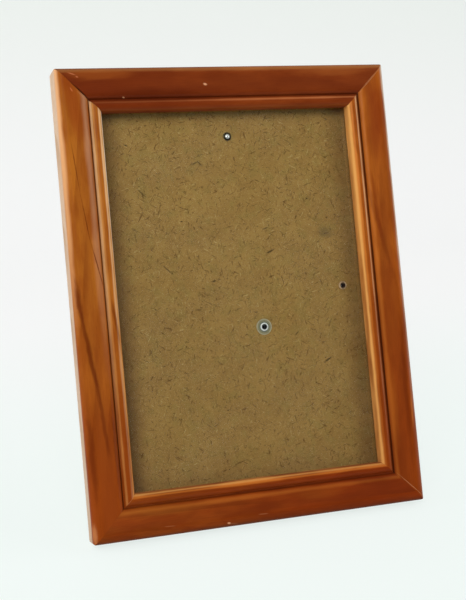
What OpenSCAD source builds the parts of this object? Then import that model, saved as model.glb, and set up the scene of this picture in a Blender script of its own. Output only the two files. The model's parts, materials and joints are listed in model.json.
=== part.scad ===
// Mitred wooden picture frame for a 5 x 7 inch print, standing on a swivel strut.
// Frame coordinates: x to the right seen from the front, y backwards from the back of the rails,
// z up along the leaning frame from its bottom edge. place() leans all of it back as it stands.

/* [Print and rebate] */
// Width of the print that the frame takes
print_w = 127; // [120:1:150]
// Height of the print that the frame takes
print_h = 178; // [170:1:210]
// Play of the rebate round the print, both sides together
rebate_play = 2; // [1:0.5:4]
// Width of the lip that covers the print's edge
lip_w = 5; // [4.5:0.5:6]

/* [Moulding] */
// Width of the moulding, from the sight edge to the outer edge
rail_w = 20; // [19:0.5:26]
// Thickness of the moulding at its crest
rail_t = 13.5; // [13:0.25:16]
// Radius of the outer arris, which rounds over from the crest
arris_r = 4; // [3.5:0.1:5]
// Angle at which the face falls from the crest towards the opening
face_fall = 7; // [4:0.5:9]
// Radius of the roll that takes the face down to the quirk
roll_r = 3; // [2:0.1:3.5]
// Width of the quirk between the roll and the bead
quirk_w = 0.6; // [0.4:0.1:1]
// Radius of the bead at the sight edge
bead_r = 2.7; // [2.4:0.1:2.8]
// Height of the bead's centre above the back
bead_v = 9.9; // [9.5:0.1:10.5]

/* [Glass and backing] */
// Thickness of the glass
glass_t = 2; // [1.5:0.25:2.5]
// Thickness of the hardboard
board_t = 3.2; // [2.8:0.1:3.4]
// Depth of the hardboard's back below the back of the rails
board_recess = 0.4; // [0:0.1:0.4]
// Room for the print and the rivet heads, between glass and hardboard
print_gap = 0.8; // [0.8:0.1:1]
// Clearance of glass and hardboard in the rebate, each side
pane_play = 0.3; // [0.2:0.1:0.6]

/* [Strut] */
// Angle by which the standing frame leans back
lean = 17; // [14:1:20]
// Angle of the open strut from the hardboard
open_angle = 32; // [28:1:36]
// Distance of the swivel eyelet from the left edge, seen from the front
swivel_in = 89.5; // [86:0.5:94]
// Distance of the swivel eyelet from the bottom edge
swivel_up = 88.5; // [86:0.5:94]
// Distance of the hinge pin below the swivel eyelet
pin_drop = 10; // [9:0.5:12]
// Width of the strut at its hinge end
strut_top_w = 30; // [28:1:36]
// Width of the strut at its foot
strut_foot_w = 44; // [38:1:50]

/* [Hardware] */
// Thickness of the hinge leaves
leaf_t = 0.9; // [0.8:0.1:1]
// Outer radius of the hinge knuckles
knuckle_r = 1.8; // [1.7:0.1:2]
// Distance of the top hanger's rivet below the sight edge
top_hanger_drop = 11.5; // [11:0.5:14]
// Distance of the top hanger's rivet to the right of the middle
top_hanger_off = 0.5; // [-1:0.5:1]
// Distance of the side hanger's rivet inside the sight edge
side_hanger_drop = 8; // [8:0.5:12]
// Distance of each turn button from the middle of its rail
button_spread = 58; // [50:1:64]

/* [Hidden] */
$fn = 48;
sight_w = print_w + rebate_play - 2 * lip_w;
sight_h = print_h + rebate_play - 2 * lip_w;
outer_w = sight_w + 2 * rail_w;
outer_h = sight_h + 2 * rail_w;
board_front = board_recess + board_t;
glass_back = board_front + print_gap;
ledge_v = glass_back + glass_t;
back_chamfer = 0.5;
slit = 0.1;              // gap between a turning metal part and the face it turns on
running = 0.05;          // radial play of a pin or shank in its hole

// Section of the moulding: u outwards from the sight edge, v forwards from the back
arris_c = [rail_w - arris_r, rail_t - arris_r];
face_normal = [-sin(face_fall), cos(face_fall)];
roll_end = 140;          // direction of the roll's surface normal where it meets the quirk
bead_start = 26;         // direction of the bead's surface normal where it meets the quirk
roll_u = 2 * bead_r + quirk_w - roll_r * cos(roll_end);
face_len = (arris_c.x + (arris_r - roll_r) * face_normal.x - roll_u) / cos(face_fall);
roll_c = arris_c + (arris_r - roll_r) * face_normal - face_len * [cos(face_fall), sin(face_fall)];
quirk_v = min(bead_v + 1.1, roll_c.y + roll_r * sin(roll_end) - 0.4);

// Corner nails: thin steel angles driven from the back across each mitre
nail_leg = 5;
nail_t = 0.5;
nail_deep = 8.5;
nail_u = [10, 15];

// Hollow rivets: [hole radius, shank radius], and flanges as [radius, thickness]
eyelet_bore = [1.15, 1.5];
eyelet_front = [1.9, 0.4];
eyelet_rear = [2.6, 0.4];
washer = [3.75, 0.3];
rivet_bore = [0.9, 1.2];
rivet_front = [2, 0.4];
rivet_rear = [1.8, 0.35];

// Hinge: distances from the pin's axis, with the strut folded; y from the hardboard's back
pin_r = 0.9;
pin_y = slit + knuckle_r + 0.1;
pin_head = [1.35, 0.5];
plate_half = 12;
plate_round = 9;
knuckle_half = 5.9;      // half the length of the strut leaf's knuckle
knuckle_gap = 0.2;
leaf_in = knuckle_r - leaf_t;
leaf_low = 16;
leaf_neck = 3;
leaf_corner = 3;
leaf_rise = pin_y - slit - leaf_t + leaf_in * cos(open_angle) - running;
heel = leaf_rise / sin(open_angle);
strut_start = 2.5;
strut_corner = 4;
strut_rivet_r = 1.2;
strut_rivet_head = [2.4, 0.9];
strut_rivet_x = 7.5;
strut_rivet_drop = 10.5;

// The open strut's foot comes down level with the frame's lowest edge
swivel_x = swivel_in - outer_w / 2;
pin_z = swivel_up - pin_drop;
pin_height = pin_z * cos(lean) - (pin_y - board_recess) * sin(lean);
foot_height = back_chamfer * sin(lean);
strut_slope = open_angle - lean;
strut_len = (pin_height - foot_height + knuckle_r * sin(strut_slope)) / cos(strut_slope);

// Hangers: a strap folded round the base of a triangular ring
wire_r = 0.7;
strap_t = 0.7;
strap_w = 7;
strap_tail = 3.7;
fold_drop = 6.5;         // from the rivet to the ring's axis
fold_r = wire_r + running + strap_t;
crimp = 3.6;             // from the ring's axis to where the strap's two leaves meet
ring_half = 8;
ring_h = 14;
ring_corner = 0.76;      // radius of the ring's bends, a little over the wire's
top_hanger_z = outer_h - rail_w - top_hanger_drop;
side_hanger_x = sight_w / 2 - side_hanger_drop;

// Turn buttons on the side rails, and their screws
button_u = 11;
button_t = 0.8;
button_big = 4.5;
button_small = 2.8;
screw_r = 1.1;
screw_deep = 9;
screw_point = 2;
screw_head = [2.6, 1.3];
screw_slot = [0.7, 3.4, 0.8];

// The part's box runs from the bottom rail's arris to the back of the top rail
front_y = (rail_w - arris_c.x) * sin(lean) - arris_c.y * cos(lean) - arris_r;
back_y = (outer_h - back_chamfer) * sin(lean);

function arc(c, r, from, to, steps) =
    [for (i = [0:steps]) let (a = from + (to - from) * i / steps) c + r * [cos(a), sin(a)]];

// The frame's place as it stands, with the origin under the middle of its box
module place() {
    translate([0, -(front_y + back_y) / 2, -foot_height]) rotate([-lean, 0, 0]) children();
}

// Extrudes a drawing in x and z from depth y0 to y1
module slab(y0, y1) {
    translate([0, y1, 0]) rotate([90, 0, 0]) linear_extrude(y1 - y0) children();
}

module rod_x(r, x0, x1) {
    translate([x0, 0, 0]) rotate([0, 90, 0]) cylinder(r = r, h = x1 - x0);
}

module rod_y(r, y0, y1) {
    translate([0, y1, 0]) rotate([90, 0, 0]) cylinder(r = r, h = y1 - y0);
}

// Disc with a domed top, its flat side at y0
module dome_y(r, h, y0) {
    ball = 1.7 * r;
    translate([0, y0, 0]) intersection() {
        rod_y(r, 0, h);
        translate([0, h - ball, 0]) sphere(ball, $fn = 64);
    }
}

// Section of the moulding: rebate, back, outer side, arris, face, roll, quirk and bead
module moulding_section() {
    polygon(concat(
        [[0, ledge_v], [lip_w, ledge_v], [lip_w, 0], [rail_w - back_chamfer, 0], [rail_w, back_chamfer]],
        arc(arris_c, arris_r, 0, 90 + face_fall, 10),
        arc(roll_c, roll_r, 90 + face_fall, roll_end, 6),
        [[2 * bead_r + quirk_w / 2, quirk_v]],
        arc([bead_r, bead_v], bead_r, bead_start, 180, 15)
    ));
}

// One corner nail: its apex is on the mitre and its legs run along the two rails
module corner_nail() {
    for (turn = [0, 1])
        mirror([turn, 0, -turn])
            translate([-nail_leg, -nail_deep, -nail_t / 2]) cube([nail_leg + nail_t / 2, nail_deep, nail_t]);
}

module corner_nails() {
    color("dimgray") translate([0, 0, outer_h / 2])
        for (right = [0, 1], top = [0, 1]) mirror([1 - right, 0, 0]) mirror([0, 0, 1 - top])
            for (u = nail_u) translate([sight_w / 2 + u, 0, sight_h / 2 + u]) corner_nail();
}

module at_button(right, up) {
    translate([right * (sight_w / 2 + button_u), 0, outer_h / 2 + up * button_spread]) children();
}

// A mitred rail about the middle of its sight edge, below it
module mitred_rail(half_sight) {
    half_outer = half_sight + rail_w;
    intersection() {
        rotate([90, 90, -90]) linear_extrude(2 * half_outer, center = true) moulding_section();
        slab(-rail_t - 1, 1)
            polygon([[-half_sight, 0], [half_sight, 0], [half_outer, -rail_w], [-half_outer, -rail_w]]);
    }
}

// The rail on one side of the frame: turn 0 is the bottom, 90 the left, 180 the top, 270 the right
module rail(turn) {
    upright = turn % 180 == 90;
    color("sienna") difference() {
        translate([0, 0, outer_h / 2]) rotate([0, turn, 0])
            translate([0, 0, -(upright ? sight_w : sight_h) / 2])
                mitred_rail((upright ? sight_h : sight_w) / 2);
        corner_nails();
        if (upright)
            for (up = [-1, 1])
                at_button(turn == 90 ? -1 : 1, up) rod_y(screw_r + running, -screw_deep, 1);
    }
}

// A sheet that fills the rebate
module pane(y0, y1) {
    slab(y0, y1) translate([0, outer_h / 2])
        square([sight_w + 2 * (lip_w - pane_play), sight_h + 2 * (lip_w - pane_play)], center = true);
}

module glass_pane() {
    color("lightcyan", 0.35) pane(-ledge_v, -glass_back);
}

// Places on the hardboard, with y from its back
module at_swivel() {
    translate([swivel_x, -board_recess, swivel_up]) children();
}

module at_top_hanger() {
    translate([top_hanger_off, -board_recess, top_hanger_z]) children();
}

module at_side_hanger() {
    translate([side_hanger_x, -board_recess, outer_h / 2]) rotate([0, 90, 0]) children();
}

module backing_board() {
    color("peru") difference() {
        pane(-board_front, -board_recess);
        at_swivel() rod_y(eyelet_bore[1] + running, -board_t - 1, 1);
        at_top_hanger() rod_y(rivet_bore[1] + running, -board_t - 1, 1);
        at_side_hanger() rod_y(rivet_bore[1] + running, -board_t - 1, 1);
    }
}

// Flange of a hollow rivet from its hole outwards, with a rolled edge
module flange(hole, size, y0) {
    translate([hole, y0]) square([size[0] - size[1] / 2 - hole, size[1]]);
    translate([size[0] - size[1] / 2, y0 + size[1] / 2]) circle(size[1] / 2, $fn = 24);
}

// Hollow rivet along y that clamps what lies between y0 and y1
module hollow_rivet(bore, front, y0, rear, y1) {
    rotate([-90, 0, 0]) rotate_extrude() {
        translate([bore[0], y0]) square([bore[1] - bore[0], y1 - y0]);
        flange(bore[0], front, y0 - front[1]);
        flange(bore[0], rear, y1);
    }
}

module swivel_washer() {
    color("silver") at_swivel() difference() {
        rod_y(washer[0], -board_t - washer[1], -board_t);
        rod_y(eyelet_bore[1] + running, -board_t - 1, 1);
    }
}

module swivel_eyelet() {
    color("gainsboro") at_swivel()
        hollow_rivet(eyelet_bore, eyelet_front, -board_t - washer[1], eyelet_rear, slit + leaf_t + slit);
}

// A hinge knuckle round the pin
module knuckle(x0, x1) {
    difference() {
        rod_x(knuckle_r, x0, x1);
        rod_x(pin_r + running, x0 - 1, x1 + 1);
    }
}

module at_pin() {
    at_swivel() translate([0, pin_y, -pin_drop]) children();
}

// Leaf that turns on the swivel eyelet, with the hinge's two outer knuckles
module swivel_plate() {
    knuckle_from = knuckle_half + knuckle_gap;
    color("silver") at_pin() {
        difference() {
            slab(slit - pin_y, slit + leaf_t - pin_y)
                polygon(concat([[plate_half, 0]], arc([0, pin_drop], plate_round, -20, 200, 18),
                    [[-plate_half, 0]]));
            rod_x(knuckle_r + 0.2, -knuckle_from, knuckle_from);
            rod_x(pin_r + running, -plate_half - 1, plate_half + 1);
            translate([0, 0, pin_drop]) rod_y(eyelet_bore[1] + running, -pin_y - 1, 1);
        }
        knuckle(-plate_half, -knuckle_from);
        knuckle(knuckle_from, plate_half);
    }
}

module hinge_pin() {
    end = plate_half + running;
    color("gray") at_pin() {
        rod_x(pin_r, -end, end);
        for (x0 = [-end - pin_head[1], end]) rod_x(pin_head[0], x0, x0 + pin_head[1]);
    }
}

// What swings with the strut is drawn folded and opened to its stop
module on_strut() {
    at_pin() rotate([open_angle, 0, 0]) children();
}

module at_strut_rivets() {
    for (side = [-1, 1]) translate([side * strut_rivet_x, 0, -strut_rivet_drop]) children();
}

// Leaf riveted to the strut; its heel above the pin meets the swivel plate when the strut is open
module strut_leaf() {
    color("silver") on_strut() difference() {
        union() {
            slab(leaf_in, knuckle_r) polygon([[-knuckle_half, heel], [knuckle_half, heel],
                [knuckle_half, -leaf_neck], [plate_half, -leaf_neck - 1.5],
                [plate_half, leaf_corner - leaf_low], [plate_half - leaf_corner, -leaf_low],
                [leaf_corner - plate_half, -leaf_low], [-plate_half, leaf_corner - leaf_low],
                [-plate_half, -leaf_neck - 1.5], [-knuckle_half, -leaf_neck]]);
            knuckle(-knuckle_half, knuckle_half);
        }
        rod_x(pin_r + running, -plate_half, plate_half);
        at_strut_rivets() rod_y(strut_rivet_r, 0, knuckle_r + 1);
    }
}

module strut_rivets() {
    color("gainsboro") on_strut() at_strut_rivets() {
        rod_y(strut_rivet_r, leaf_in, knuckle_r + board_t);
        rod_y(strut_rivet_r + 0.6, leaf_in - 0.5, leaf_in);
        dome_y(strut_rivet_head[0], strut_rivet_head[1], knuckle_r + board_t);
    }
}

// Hardboard leg that widens from the hinge to its round-cornered foot
module strut() {
    foot = strut_foot_w / 2 - strut_corner;
    color("peru") on_strut() difference() {
        slab(knuckle_r, knuckle_r + board_t) polygon(concat(
            [[-strut_top_w / 2 + 2, -strut_start], [-strut_top_w / 2, -strut_start - 2]],
            arc([-foot, -strut_len + strut_corner], strut_corner, 180, 270, 6),
            arc([foot, -strut_len + strut_corner], strut_corner, 270, 360, 6),
            [[strut_top_w / 2, -strut_start - 2], [strut_top_w / 2 - 2, -strut_start]]));
        at_strut_rivets() rod_y(strut_rivet_r, 0, knuckle_r + board_t + 1);
    }
}

// Folded strap seen from the side, about the ring's axis: the rivet is towards +x
module strap_section() {
    tail = fold_drop + strap_tail;
    top = 2 * strap_t - fold_r;
    difference() {
        polygon(concat(arc([0, 0], fold_r, 90, 270, 12), [[tail, -fold_r], [tail, top], [crimp + 0.6, top]]));
        circle(wire_r + running);
        polygon([[0, 0.6], [crimp, top - strap_t], [0, -0.6]]);
    }
}

// Hanger strap with its rivet hole at the origin and its fold towards +z
module hanger_strap() {
    color("silver") difference() {
        intersection() {
            translate([0, fold_r, fold_drop]) rotate([90, 90, 90])
                linear_extrude(strap_w, center = true) strap_section();
            slab(-1, 2 * fold_r + 1) {
                circle(strap_tail);
                translate([-strap_w / 2, 0]) square([strap_w, fold_drop + fold_r + 1]);
            }
        }
        rod_y(rivet_bore[1] + running, -1, 2 * fold_r + 1);
    }
}

module hanger_rivet() {
    color("gainsboro") hollow_rivet(rivet_bore, rivet_front, -board_t, rivet_rear, 2 * strap_t);
}

// Triangular wire ring, turned about its base from pointing up flat along the hardboard
module hanger_ring(turn) {
    slope = atan2(ring_h, ring_half);
    color("silver") translate([0, fold_r, fold_drop]) rotate([-turn, 0, 0]) {
        rod_x(wire_r, -ring_half, ring_half);
        for (side = [0, 1]) mirror([side, 0, 0]) translate([ring_half, 0, 0]) {
            sphere(ring_corner);
            rotate([0, slope - 90, 0]) cylinder(r = wire_r, h = norm([ring_half, ring_h]));
        }
        translate([0, 0, ring_h]) sphere(ring_corner);
    }
}

// Turn button about its screw, pointing towards the opening
module button(right, up) {
    reach = button_u - button_small;
    color("silver") at_button(right, up) difference() {
        slab(slit, slit + button_t) hull() {
            circle(button_big, $fn = 32);
            translate([-right * reach, 0]) circle(button_small, $fn = 32);
        }
        rod_y(screw_r + running, -1, 2);
    }
}

// Screws that hold the turn buttons, with a domed head and a cross slot
module button_screws() {
    head_y = slit + button_t + slit;
    color("gainsboro") for (right = [-1, 1], up = [-1, 1])
        at_button(right, up) difference() {
            union() {
                rod_y(screw_r, screw_point - screw_deep, head_y);
                translate([0, -screw_deep, 0]) rotate([-90, 0, 0])
                    cylinder(r1 = 0.2, r2 = screw_r, h = screw_point);
                dome_y(screw_head[0], screw_head[1], head_y);
            }
            for (turn = [0, 90]) translate([0, head_y + screw_head[1], 0]) rotate([0, turn + 20, 0])
                cube([screw_slot[1], 2 * screw_slot[2], screw_slot[0]], center = true);
        }
}

place() {
    rail(180);  // top_rail
    rail(0);  // bottom_rail
    rail(90);  // left_rail
    rail(270);  // right_rail
    corner_nails();
    glass_pane();
    backing_board();
    swivel_washer();
    swivel_eyelet();
    swivel_plate();
    hinge_pin();
    strut_leaf();
    strut_rivets();
    strut();
    at_top_hanger() hanger_strap();  // top_hanger_strap
    at_top_hanger() hanger_rivet();  // top_hanger_rivet
    at_top_hanger() hanger_ring(180 - lean);  // top_hanger_ring
    at_side_hanger() hanger_strap();  // side_hanger_strap
    at_side_hanger() hanger_rivet();  // side_hanger_rivet
    at_side_hanger() hanger_ring(90);  // side_hanger_ring
    button(-1, 1);  // upper_left_button
    button(-1, -1);  // lower_left_button
    button(1, 1);  // upper_right_button
    button(1, -1);  // lower_right_button
    button_screws();
}
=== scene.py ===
# %% [markdown]
# A wooden picture frame for a 5 x 7 inch print, standing on its own strut. Four mitred lengths
# of one moulding hold a pane of glass and a hardboard back, and all the metal is on the back:
# a strut hinge that turns on a hollow eyelet, two hanging rings and four turn buttons.
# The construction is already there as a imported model, so this lesson loads it and gives each
# piece its true surface: the moulding is swept again with finer arcs, the pressed and riveted
# metal is shaped as it comes from the press, and wood, hardboard, glass and metal get finishes.

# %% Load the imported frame
import json
import math
import bpy
import bmesh
import numpy as np
from mathutils import Euler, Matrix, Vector
from mathutils.geometry import delaunay_2d_cdt


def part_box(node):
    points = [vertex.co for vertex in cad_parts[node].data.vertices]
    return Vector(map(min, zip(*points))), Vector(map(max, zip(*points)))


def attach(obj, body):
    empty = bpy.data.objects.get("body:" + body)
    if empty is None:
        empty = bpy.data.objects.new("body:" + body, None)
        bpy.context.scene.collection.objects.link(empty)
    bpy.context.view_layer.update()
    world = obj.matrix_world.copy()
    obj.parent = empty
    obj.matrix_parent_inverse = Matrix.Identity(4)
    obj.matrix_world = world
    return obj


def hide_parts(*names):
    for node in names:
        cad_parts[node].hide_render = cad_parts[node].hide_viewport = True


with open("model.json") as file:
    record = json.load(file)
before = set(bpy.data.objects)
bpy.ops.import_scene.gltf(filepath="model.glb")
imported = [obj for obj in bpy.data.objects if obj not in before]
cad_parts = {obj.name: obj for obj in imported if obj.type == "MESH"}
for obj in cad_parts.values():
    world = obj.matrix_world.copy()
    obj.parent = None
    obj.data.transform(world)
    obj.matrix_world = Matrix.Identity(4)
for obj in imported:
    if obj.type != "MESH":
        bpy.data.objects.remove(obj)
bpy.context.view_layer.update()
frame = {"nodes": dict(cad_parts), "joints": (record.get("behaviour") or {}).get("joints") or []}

print("pieces in the packed model:", len(frame["nodes"]))

# %% [markdown]
# The frame leans back as it stands, but it was made flat on a bench. It is much easier to
# describe a moulding or a hinge on the bench, so every shape below is written in bench
# millimetres: x to the right, y backwards from the back of the rails, z up along the frame.
# The lean and the frame's place come from the joint that the strut swivels on: its axis is
# square to the back, and its point is the eyelet's centre on the hardboard.

# %% Bench and standing coordinates
joints = {joint["name"]: joint for joint in frame["joints"]}
swivel_axis = joints["strut_swivel"]["axis"]
lean = math.atan2(-swivel_axis[2], swivel_axis[1])
board_recess = 0.4                       # hardboard's back below the back of the rails
swivel_seen = np.array([10.0, -board_recess, 88.5])   # the eyelet's centre on the bench
lean_back = np.array(Euler((-lean, 0, 0)).to_matrix())
bench_origin = 1000 * np.array(joints["strut_swivel"]["pos_m"]) - lean_back @ swivel_seen


def stand(points):
    """Bench millimetres to standing metres: turned back about x by the lean, then shifted."""
    return (np.asarray(points, float) @ lean_back.T + bench_origin) / 1000


def turned(points, degrees, about=(0, 0, 0)):
    """Points turned about an x axis through a point, y towards z."""
    turn = np.array(Euler((math.radians(degrees), 0, 0)).to_matrix())
    return (np.asarray(points, float) - about) @ turn.T + about


print("lean", round(math.degrees(lean), 2), "degrees, bench origin at", bench_origin.round(2), "mm")

# %% [markdown]
# The camera stands a little to the left of the frame and above it, about half a metre away,
# with a longer lens than usual. A short lens would spread the lower rail and shrink the
# upper one. The direction is kept apart from the place, because the frame isn't quite in
# the middle of the picture.

# %% Camera
opening_middle = stand([0, -9.9, 105])
camera_from_opening = np.array([-0.16507, -0.48419, 0.12243])
camera_looks = Vector((0.30366, 0.9222, -0.2394))
lens_mm, sensor_mm, nearest_m = 68.73, 36, 0.01
camera = bpy.data.objects.new("camera", bpy.data.cameras.new("camera"))
camera.data.lens = lens_mm
camera.data.sensor_width = sensor_mm
camera.location = opening_middle + camera_from_opening
camera.rotation_mode = "QUATERNION"
camera.rotation_quaternion = camera_looks.to_track_quat("-Z", "Y")
camera.data.clip_start = nearest_m
bpy.context.scene.collection.objects.link(camera)
bpy.context.scene.camera = camera
bpy.context.scene.view_settings.view_transform = "Standard"
print("camera at", [round(value, 3) for value in camera.location])

# %% [markdown]
# Every surface here is a grid: a shape worked out as a function of two parameters, such as
# the place along a rail and the place round its section. numpy works out all the points at
# once. Blender's own cubes and cylinders with modifiers could be pushed into shape too, but
# a grid keeps each shape readable as one formula. Two helpers turn such a grid into faces,
# with a lid where it has to be closed, and a third makes the Blender object, says which body
# it moves with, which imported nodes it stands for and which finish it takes.


# %% Grids, lids and pieces
def grid(points, ring=False):
    """Points and faces of a grid of rows and columns. Each face joins two neighbouring rows
    and two neighbouring columns, and ring also joins the last column to the first."""
    points = np.asarray(points, float)
    rows, columns = points.shape[:2]
    row = np.arange(rows - 1)[:, None] * columns
    column = np.arange(columns if ring else columns - 1)[None, :]
    after = (column + 1) % columns
    below = row + columns
    faces = np.stack([row + column, row + after, below + after, below + column], -1)
    return points.reshape(-1, 3), faces.reshape(-1, 4).tolist()


def lids(points):
    """One face each for the first and the last row of a grid whose columns close in a ring."""
    points = np.asarray(points, float)
    around = list(range(points.shape[1]))
    return [(points[0], [around]), (points[-1], [around])]


def closed(points):
    """A grid of rings with its two lids: a closed tube, bar or plate."""
    return [grid(points, ring=True)] + lids(points)


sharp_from = math.radians(35)            # edges that bend more than this are drawn sharp
double_m = 2e-7                          # points closer than this are one point


def piece(name, parts, finish, body, stands_for):
    """One object from parts of points and faces in bench millimetres. Doubles are merged
    first, and then the normals of the closed shells are turned outwards."""
    points = np.concatenate([part[0] for part in parts])
    starts = np.cumsum([0] + [len(part[0]) for part in parts])
    faces = [[corner + start for corner in face]
             for part, start in zip(parts, starts) for face in part[1]]
    mesh = bpy.data.meshes.new(name)
    mesh.from_pydata(stand(points), [], faces)
    made = bmesh.new()
    made.from_mesh(mesh)
    bmesh.ops.remove_doubles(made, verts=made.verts, dist=double_m)
    bmesh.ops.recalc_face_normals(made, faces=made.faces)
    made.to_mesh(mesh)
    made.free()
    mesh.shade_smooth()
    mesh.set_sharp_from_angle(angle=sharp_from)
    mesh.materials.append(finish)
    thing = bpy.data.objects.new(name, mesh)
    bpy.context.scene.collection.objects.link(thing)
    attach(thing, body)
    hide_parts(*stands_for)
    lows, highs = zip(*[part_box(node) for node in stands_for])
    room = np.array(highs).max(0) - np.array(lows).min(0)
    size = np.array(thing.dimensions) - room
    print(f"{name}: {len(mesh.polygons)} faces, {np.abs(1000 * size).max():.2f} mm off the packed size")
    return thing


print("a grid of 4 by 3 points has", len(grid(np.zeros((4, 3, 3)))[1]), "faces")

# %% [markdown]
# A finish is a small graph of nodes. It could be drawn by hand in the shader editor, but a
# script can be read and repeated. The class below adds one node per call and hands back its
# output, so that a finish reads like a recipe: take the place on the piece, stretch it, look
# up a noise there, turn the noise into a colour. Colours are written as 0 to 255, as a paint
# program shows them, and made linear for the shader.


# %% A short hand for finishes
def paint(red, green, blue):
    """A colour of 0 to 255 as linear light, which is what shader sockets take."""
    share = np.array([red, green, blue]) / 255
    linear = np.where(share <= 0.04045, share / 12.92, ((share + 0.055) / 1.055) ** 2.4)
    return (*linear.tolist(), 1.0)


class Finish:
    """A material being mixed. Each method adds one node and returns its output socket."""

    def __init__(self, name):
        """A new material with an empty graph."""
        self.material = bpy.data.materials.new(name)
        self.material.use_nodes = True
        self.tree = self.material.node_tree
        self.tree.nodes.clear()

    def node(self, kind, sockets, **settings):
        """Adds a node, sets its settings, and links or sets the named input sockets."""
        node = self.tree.nodes.new("ShaderNode" + kind)
        for name, value in settings.items():
            setattr(node, name, value)
        for name, value in sockets.items():
            if isinstance(value, bpy.types.NodeSocket):
                self.tree.links.new(value, node.inputs[name])
            else:
                node.inputs[name].default_value = value
        return node

    def math(self, operation, first, second=0.0, clamp=False):
        """One operation on two values, each a number or another node's output."""
        node = self.node("Math", {0: first, 1: second}, operation=operation)
        node.use_clamp = clamp
        return node.outputs[0]

    def place(self, turn=(0, 0, 0), move=(0, 0, 0)):
        """Place on the piece in bench millimetres, then turned and moved."""
        to_bench = Euler((lean, 0, 0)).to_matrix()
        turning = Euler(turn).to_matrix()
        start = turning @ (to_bench @ Vector(-bench_origin)) + Vector(move)
        where = self.node("TexCoord", {}).outputs["Object"]
        sockets = {"Vector": where, "Location": start, "Scale": (1000, 1000, 1000),
                   "Rotation": (turning @ to_bench).to_euler()}
        return self.node("Mapping", sockets).outputs[0]

    def stretch(self, where, x, y, z):
        """Divides a place by three lengths, which sets how long a pattern is each way."""
        return self.node("Mapping", {"Vector": where, "Scale": (1 / x, 1 / y, 1 / z)}).outputs[0]

    def noise(self, where, detail=2.0, roughness=0.5, distortion=0.0):
        """Noise from 0 to 1 whose lumps are one unit of the place across. Each further level
        of detail is half as large and roughness times as strong."""
        sockets = {"Vector": where, "Scale": 1.0, "Detail": detail, "Roughness": roughness,
                   "Distortion": distortion}
        return self.node("TexNoise", sockets).outputs[0]

    def fade(self, value, start, end, low=0.0, high=1.0):
        """Low before start, high after end, and a smooth step between them."""
        sockets = {"Value": value, "From Min": start, "From Max": end, "To Min": low, "To Max": high}
        return self.node("MapRange", sockets, interpolation_type="SMOOTHSTEP").outputs[0]

    def mix(self, share, first, second):
        """The first colour times (1 - share) plus the second colour times share."""
        return self.node("Mix", {0: share, 6: first, 7: second}, data_type="RGBA").outputs[2]

    def glaze(self, colour, mask, strength, tone):
        """A colour with a thin coat of another, as thick as mask * strength."""
        return self.mix(self.math("MULTIPLY", mask, strength), colour, tone)

    def stroke(self, start, end, width, ragged=0.5):
        """1 inside a long ellipse round the line from start to end, both (x, z) on the bench.
        It fades to 0 as |(x / half length, z / half width)| + noise goes from 0.3 to 1.2."""
        (x0, z0), (x1, z1) = start, end
        turn = Euler((0, math.atan2(z1 - z0, x1 - x0), 0))
        middle = turn.to_matrix() @ Vector(((x0 + x1) / 2, 0, (z0 + z1) / 2))
        where = self.place(turn=turn, move=-middle)
        half = math.dist(start, end) / 2 + width / 2
        flat = self.stretch(where, half, math.inf, width / 2)
        far = self.node("VectorMath", {0: flat}, operation="LENGTH").outputs["Value"]
        edge = self.noise(self.stretch(where, 1 + 2 * width, 1 + width, 0.3 + 0.4 * width), detail=3)
        uneven = self.math("MULTIPLY", self.math("SUBTRACT", edge, 0.5), 2 * ragged)
        far = self.math("ADD", far, uneven)
        return self.fade(far, 1.2, 0.3)

    def bump(self, height, distance_mm, strength=1.0):
        """A normal tilted by the slope of a height, whose 0 to 1 stands for distance_mm."""
        sockets = {"Height": height, "Distance": distance_mm / 1000, "Strength": strength}
        return self.node("Bump", sockets).outputs[0]

    def surface(self, **sockets):
        """A Principled shader with these sockets, given to the material."""
        named = {name.replace("_", " ").title().replace("Ior", "IOR"): value
                 for name, value in sockets.items()}
        return self.give(self.node("BsdfPrincipled", named).outputs[0])

    def give(self, shader):
        """The material, with this shader on its surface."""
        self.node("OutputMaterial", {"Surface": shader})
        return self.material


print("a paint of 128 is", round(paint(128, 128, 128)[0], 3), "in linear light")

# %% [markdown]
# The frame stands on white paper that runs from the floor up the wall in one curve. A flat
# floor and a wall would do as well, but would show the line where they meet. The paper is
# partly self-lit for the camera and for reflections, which keeps it near white, and the rest
# of it still takes the frame's shadow. Its tint changes a little from the floor to the wall.

# %% Paper sweep
sweep_near, sweep_far, sweep_radius = -0.45, 0.55, 0.30
sweep_half, sweep_top = 2.5, 2.4
curve = np.linspace(0, math.pi / 2, 24)
wall_y = sweep_far + sweep_radius
sweep_y = np.concatenate([[sweep_near, 0], sweep_far + sweep_radius * np.sin(curve), [wall_y]])
sweep_z = np.concatenate([[0, 0], sweep_radius * (1 - np.cos(curve)), [sweep_top]])
sweep_x = np.linspace(-sweep_half, sweep_half, 3)
sweep_points = np.stack(np.broadcast_arrays(sweep_x[None, :], sweep_y[:, None], sweep_z[:, None]), -1)
sweep_mesh = bpy.data.meshes.new("paper_sweep")
sweep_mesh.from_pydata(sweep_points.reshape(-1, 3), [], grid(sweep_points)[1])
sweep_mesh.shade_smooth()
sweep = bpy.data.objects.new("paper_sweep", sweep_mesh)
bpy.context.scene.collection.objects.link(sweep)

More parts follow.
